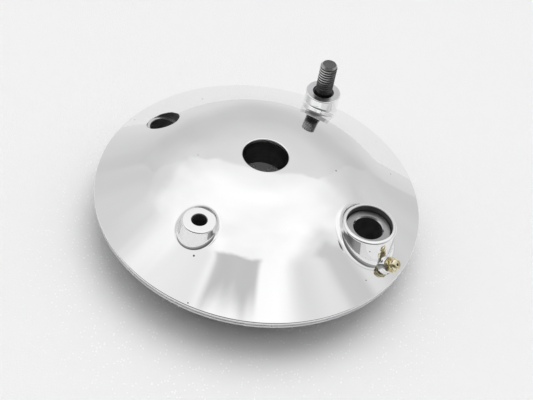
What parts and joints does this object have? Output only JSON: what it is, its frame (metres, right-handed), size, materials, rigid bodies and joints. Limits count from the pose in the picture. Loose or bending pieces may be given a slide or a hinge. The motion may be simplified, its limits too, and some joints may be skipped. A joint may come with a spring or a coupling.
{
  "type": "drum brake back plate",
  "caption": "Polished domed drum-brake back plate with a spindle bore, a bushed cam boss with a grease nipple, a threaded anchor stud and a pivot hole.",
  "frame": {"origin": "on the wheel axis, in the plane of the inner hub's end face, on which the plate stands", "axes": "+Z along the wheel axis, out of the drum through the crown; +Y towards the anchor stud's side, +X towards the cam boss's side"},
  "size_m": [0.19, 0.19, 0.0703],
  "materials": {
    "polished_aluminium": "mirror polished outside, as cast and machined inside",
    "sleeve_steel": "dark, oiled",
    "bush_steel": "machined",
    "blackened_steel": "blackened, threaded",
    "brass": "turned, lightly tarnished",
    "bright_steel": "bright"
  },
  "bodies": {
    "plate": {"brake_plate": "polished_aluminium", "spindle_sleeve": "sleeve_steel", "cam_bush": "bush_steel", "anchor_stud": "blackened_steel", "nipple_body": "brass", "nipple_spring": "bright_steel", "nipple_seat": "bright_steel"},
    "ball": {"nipple_ball": "bright_steel"}
  },
  "joints": [
    {"name": "nipple_ball_travel", "type": "slide", "parent": "plate", "child": "ball", "axis": [-0.5399, 0.4372, -0.7193], "range_m": [0, 0.0008], "stiffness_N_per_m": 400, "springref_m": -0.002, "deforming": ["nipple_spring"]}
  ]
}
